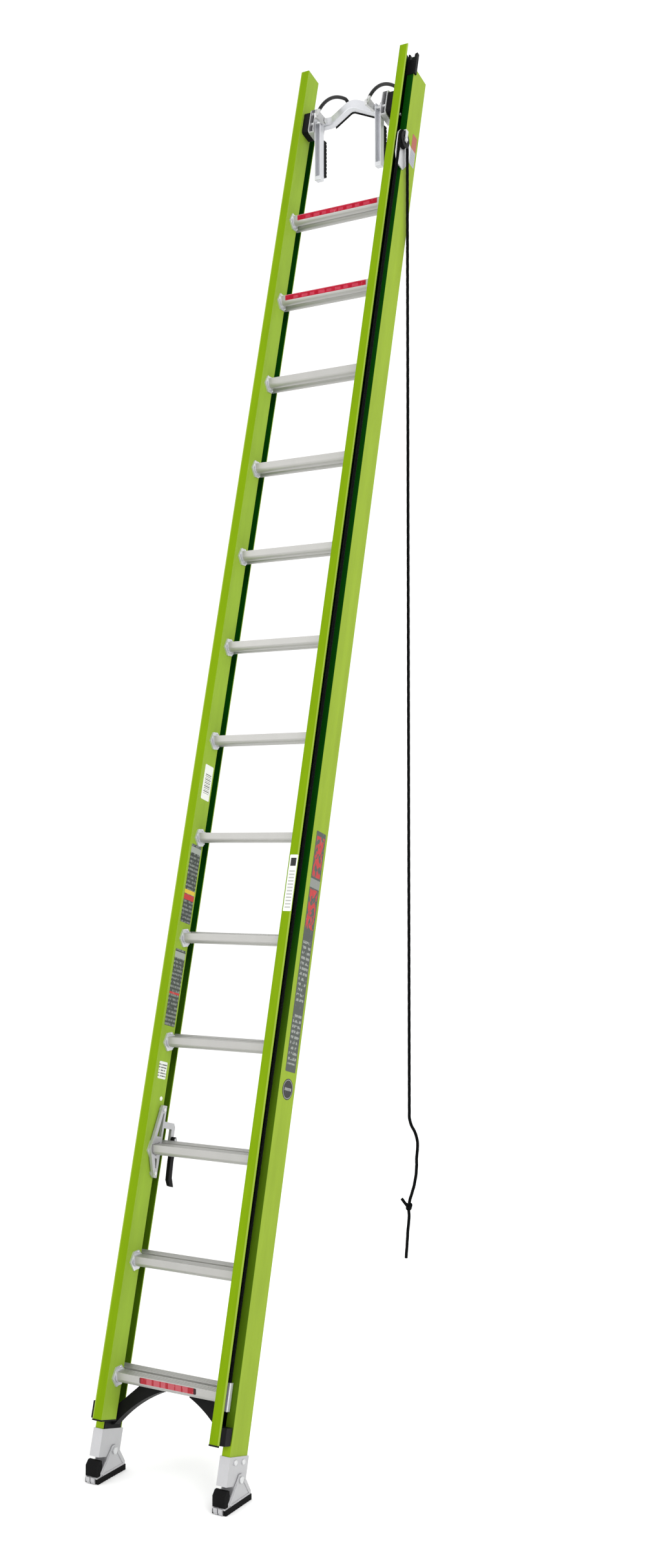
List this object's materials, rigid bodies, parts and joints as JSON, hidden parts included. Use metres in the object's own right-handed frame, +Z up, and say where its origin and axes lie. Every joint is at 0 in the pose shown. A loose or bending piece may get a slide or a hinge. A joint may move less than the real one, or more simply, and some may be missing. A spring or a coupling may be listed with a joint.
{
  "type": "extension ladder",
  "caption": "Two-section extension ladder with green fibreglass rails, aluminium rungs, rung locks, haul rope and pulley, swivel shoes, V-shaped top rung and folding cable hooks.",
  "frame": {"origin": "on the floor, midway between the two foot pads", "axes": "+Z up, +X to the climber's right, +Y away from the climber, towards the wall; the rails lean 15 degrees from vertical towards +Y"},
  "size_m": [0.4869, 1.2864, 4.3683],
  "materials": {
    "fiberglass_fly": "glass-fibre reinforced rail, lime green, faint lengthwise fibre pattern",
    "fiberglass_base": "glass-fibre reinforced rail, lighter lime green",
    "rung_aluminium": "extruded, mill finish, grooved tread",
    "cast_aluminium": "cast or pressed, satin",
    "bright_aluminium": "bright satin",
    "zinc_steel": "zinc plated",
    "black_steel": "black plastic-dipped",
    "black_plastic": "moulded, satin",
    "black_rubber": "matte",
    "rope_black": "braided polypropylene rope"
  },
  "bodies": {
    "base_section": {"base_rail_left": "fiberglass_base", "base_rail_right": "fiberglass_base", "base_rungs": "rung_aluminium", "base_rung_collars": "cast_aluminium", "arch_brace_left": "black_plastic", "arch_brace_right": "black_plastic", "top_guides": "black_plastic", "foot_bracket_left": "cast_aluminium", "foot_bracket_right": "cast_aluminium", "foot_bolts": "zinc_steel", "pulley_bracket": "zinc_steel", "pulley_axle": "zinc_steel", "hanging_rope": "rope_black", "rope_knot": "rope_black", "haul_rope": "rope_black"},
    "fly_section": {"fly_rail_left": "fiberglass_fly", "fly_rail_right": "fiberglass_fly", "fly_rung_collars": "bright_aluminium", "fly_end_caps": "black_plastic", "bottom_guides": "black_plastic", "rung_lock_frame_left": "cast_aluminium", "rung_lock_frame_right": "cast_aluminium", "rung_lock_bolts": "zinc_steel", "rope_anchor": "bright_aluminium", "v_rung": "cast_aluminium", "v_rung_pad": "black_rubber", "hanger_bracket_left": "cast_aluminium", "hanger_bracket_right": "cast_aluminium", "hanger_spacers": "black_plastic", "hanger_fasteners": "zinc_steel", "fly_rung_01": "rung_aluminium", "fly_rung_02": "rung_aluminium", "fly_rung_03": "rung_aluminium", "fly_rung_04": "rung_aluminium", "fly_rung_05": "rung_aluminium", "fly_rung_06": "rung_aluminium", "fly_rung_07": "rung_aluminium", "fly_rung_08": "rung_aluminium", "fly_rung_09": "rung_aluminium", "fly_rung_10": "rung_aluminium", "fly_rung_11": "rung_aluminium", "fly_rung_12": "rung_aluminium", "fly_rung_13": "rung_aluminium"},
    "sheave": {"pulley_sheave": "black_plastic"},
    "claw_left": {"rung_lock_claw_left": "black_plastic"},
    "hook_left": {"cable_hook_left": "black_steel"},
    "arm_left": {"hanging_arm_left": "cast_aluminium", "arm_pad_left": "black_rubber"},
    "foot_left": {"foot_shoe_left": "cast_aluminium", "foot_pad_left": "black_rubber", "foot_bumper_left": "black_rubber"},
    "claw_right": {"rung_lock_claw_right": "black_plastic"},
    "hook_right": {"cable_hook_right": "black_steel"},
    "arm_right": {"hanging_arm_right": "cast_aluminium", "arm_pad_right": "black_rubber"},
    "foot_right": {"foot_shoe_right": "cast_aluminium", "foot_pad_right": "black_rubber", "foot_bumper_right": "black_rubber"}
  },
  "joints": [
    {"name": "fly_slide", "type": "slide", "parent": "base_section", "child": "fly_section", "axis": [0, 0.2588, 0.9659], "range_m": [0, 3.048], "deforming": ["haul_rope"]},
    {"name": "sheave_spin", "type": "hinge", "parent": "base_section", "child": "sheave", "pos_m": [0.2275, 0.98018, 4.00412], "axis": [1, 0, 0], "continuous": true},
    {"name": "foot_tilt_left", "type": "hinge", "parent": "base_section", "child": "foot_left", "pos_m": [-0.2045, 0.014, 0.066], "axis": [1, 0, 0], "range_deg": [-6, 75]},
    {"name": "claw_swing_left", "type": "hinge", "parent": "fly_section", "child": "claw_left", "pos_m": [-0.155, 0.24773, 0.87259], "axis": [1, 0, 0], "range_deg": [0, 45]},
    {"name": "hook_fold_left", "type": "hinge", "parent": "fly_section", "child": "hook_left", "pos_m": [-0.095, 1.02668, 4.15834], "axis": [1, 0, 0], "range_deg": [0, 120]},
    {"name": "arm_swing_left", "type": "hinge", "parent": "fly_section", "child": "arm_left", "pos_m": [-0.114, 1.02668, 4.15834], "axis": [1, 0, 0], "range_deg": [-60, 40]},
    {"name": "foot_tilt_right", "type": "hinge", "parent": "base_section", "child": "foot_right", "pos_m": [0.2045, 0.014, 0.066], "axis": [1, 0, 0], "range_deg": [-6, 75]},
    {"name": "claw_swing_right", "type": "hinge", "parent": "fly_section", "child": "claw_right", "pos_m": [0.155, 0.24773, 0.87259], "axis": [1, 0, 0], "range_deg": [0, 45]},
    {"name": "hook_fold_right", "type": "hinge", "parent": "fly_section", "child": "hook_right", "pos_m": [0.095, 1.02668, 4.15834], "axis": [1, 0, 0], "range_deg": [0, 120]},
    {"name": "arm_swing_right", "type": "hinge", "parent": "fly_section", "child": "arm_right", "pos_m": [0.114, 1.02668, 4.15834], "axis": [1, 0, 0], "range_deg": [-60, 40]}
  ],
  "couplings": [
    {"joint": "sheave_spin", "follows": "fly_slide", "rad_per_m": -39.37}
  ]
}
